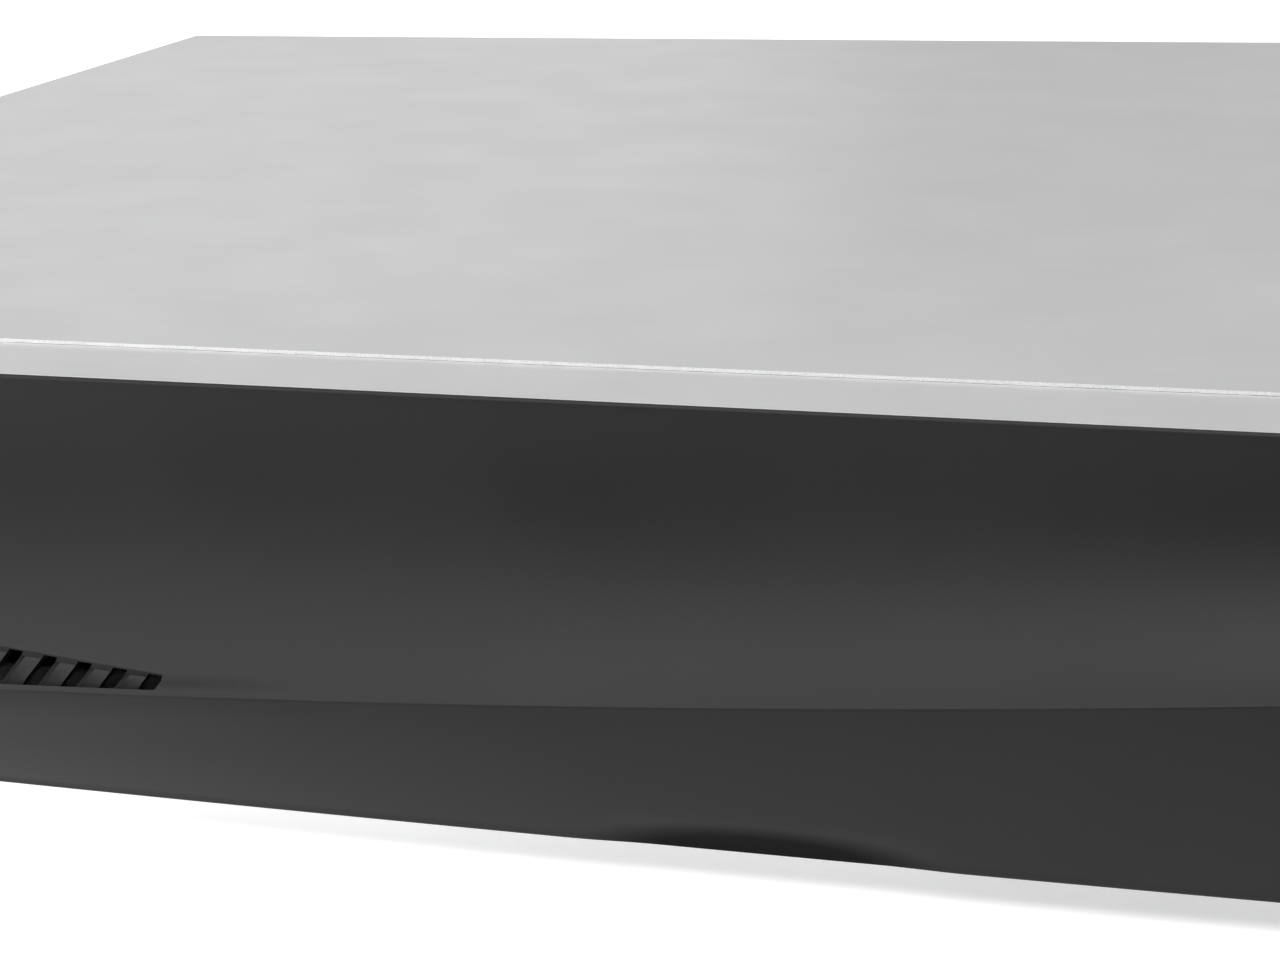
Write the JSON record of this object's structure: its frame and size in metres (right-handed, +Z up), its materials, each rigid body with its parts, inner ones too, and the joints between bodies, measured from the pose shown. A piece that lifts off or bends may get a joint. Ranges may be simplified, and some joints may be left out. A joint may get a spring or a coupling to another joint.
{
  "type": "video recorder",
  "caption": "Flat metal-cased digital video recorder with a curved dark fascia, hard drive, main board, case fan, rear video and network connectors and a rocker power switch.",
  "frame": {"origin": "middle of the footprint, on the table that the rubber feet stand on", "axes": "+X to the right of someone facing the fascia, +Y to the back, +Z up"},
  "size_m": [0.3188, 0.2548, 0.045],
  "materials": {
    "case_paint": "satin light grey coat on folded sheet",
    "tray_steel": "bare zinc-coated sheet",
    "fascia_plastic": "fine-textured dark grey moulding",
    "lens_plastic": "clear light pipe",
    "smoked_plastic": "dark infrared-passing pane",
    "black_plastic": "moulded black",
    "white_plastic": "moulded off-white",
    "ribbon_plastic": "flat grey ribbon",
    "red_plastic": "moulded red",
    "blue_plastic": "moulded blue",
    "green_plastic": "moulded green",
    "plated_metal": "nickel plate",
    "circuit_board": "green solder mask",
    "sink_aluminium": "extruded, clear anodised",
    "drive_casting": "die cast, machined rims",
    "drive_lid_steel": "pressed lid",
    "disc_mirror": "polished disc",
    "cable_red": "flat cable jacket",
    "cable_black": "cable jacket",
    "screw_steel": "zinc plate",
    "foot_rubber": "moulded rubber",
    "cut_steel": "bare sheared edge",
    "gold_contact": "gold flash on spring contacts",
    "amber_plastic": "lamp window"
  },
  "bodies": {
    "case": {"audio_in_jack": "red_plastic", "audio_out_jack": "white_plastic", "chassis_tray": "tray_steel", "coin_cell": "plated_metal", "coin_cell_holder": "black_plastic", "cover_screw_left_1": "screw_steel", "cover_screw_left_2": "screw_steel", "cover_screw_rear_left": "screw_steel", "cover_screw_rear_right": "screw_steel", "cover_screw_right_1": "screw_steel", "cover_screw_right_2": "screw_steel", "drive_base": "drive_casting", "drive_board": "circuit_board", "drive_data_cable": "cable_red", "drive_lid": "drive_lid_steel", "drive_power_cable": "cable_black", "drive_screw_1": "screw_steel", "drive_screw_2": "screw_steel", "drive_screw_3": "screw_steel", "drive_screw_4": "screw_steel", "fan_bracket": "tray_steel", "fan_frame": "black_plastic", "foot_front_left": "foot_rubber", "foot_front_right": "foot_rubber", "foot_rear_left": "foot_rubber", "foot_rear_right": "foot_rubber", "front_board": "circuit_board", "front_fascia": "fascia_plastic", "front_frame": "case_paint", "front_ribbon_cable": "ribbon_plastic", "front_usb_shell": "plated_metal", "front_usb_tongue": "white_plastic", "ground_screw": "screw_steel", "hdmi_port": "plated_metal", "heat_sink": "sink_aluminium", "infrared_window": "smoked_plastic", "jack_block": "black_plastic", "lan_port": "plated_metal", "main_board": "circuit_board", "power_jack": "black_plastic", "processor_chip": "black_plastic", "rear_panel": "tray_steel", "rear_usb_port": "plated_metal", "serial_terminal_header": "green_plastic", "status_lens_disk": "lens_plastic", "status_lens_network": "lens_plastic", "status_lens_power": "lens_plastic", "switch_housing": "black_plastic", "top_cover": "case_paint", "vga_port": "blue_plastic", "video_in_1": "plated_metal", "video_in_2": "plated_metal", "video_in_3": "plated_metal", "video_in_4": "plated_metal", "video_out": "plated_metal"},
    "switch_rocker": {"switch_rocker": "black_plastic"},
    "fan_rotor": {"fan_rotor": "black_plastic"},
    "drive_platters": {"drive_platters": "disc_mirror"},
    "drive_head_arm": {"drive_head_arm": "sink_aluminium"},
    "terminal_plug": {"serial_terminal_plug": "green_plastic"}
  },
  "joints": [
    {"name": "switch_rock", "type": "hinge", "parent": "case", "child": "switch_rocker", "pos_m": [-0.104, 0.1138, 0.022], "axis": [-1, 0, 0], "range_deg": [0, 18]},
    {"name": "fan_spin", "type": "hinge", "parent": "case", "child": "fan_rotor", "pos_m": [0.15, -0.0558, 0.026], "axis": [1, 0, 0], "continuous": true},
    {"name": "platter_spin", "type": "hinge", "parent": "case", "child": "drive_platters", "pos_m": [-0.098, -0.0518, 0.025], "axis": [0, 0, 1], "continuous": true},
    {"name": "head_arm_swing", "type": "hinge", "parent": "case", "child": "drive_head_arm", "pos_m": [-0.076, 0.0162, 0.025], "axis": [0, 0, 1], "range_deg": [0, 28]},
    {"name": "terminal_plug_pull", "type": "slide", "parent": "case", "child": "terminal_plug", "axis": [0, 1, 0], "range_m": [0, 0.012]}
  ]
}
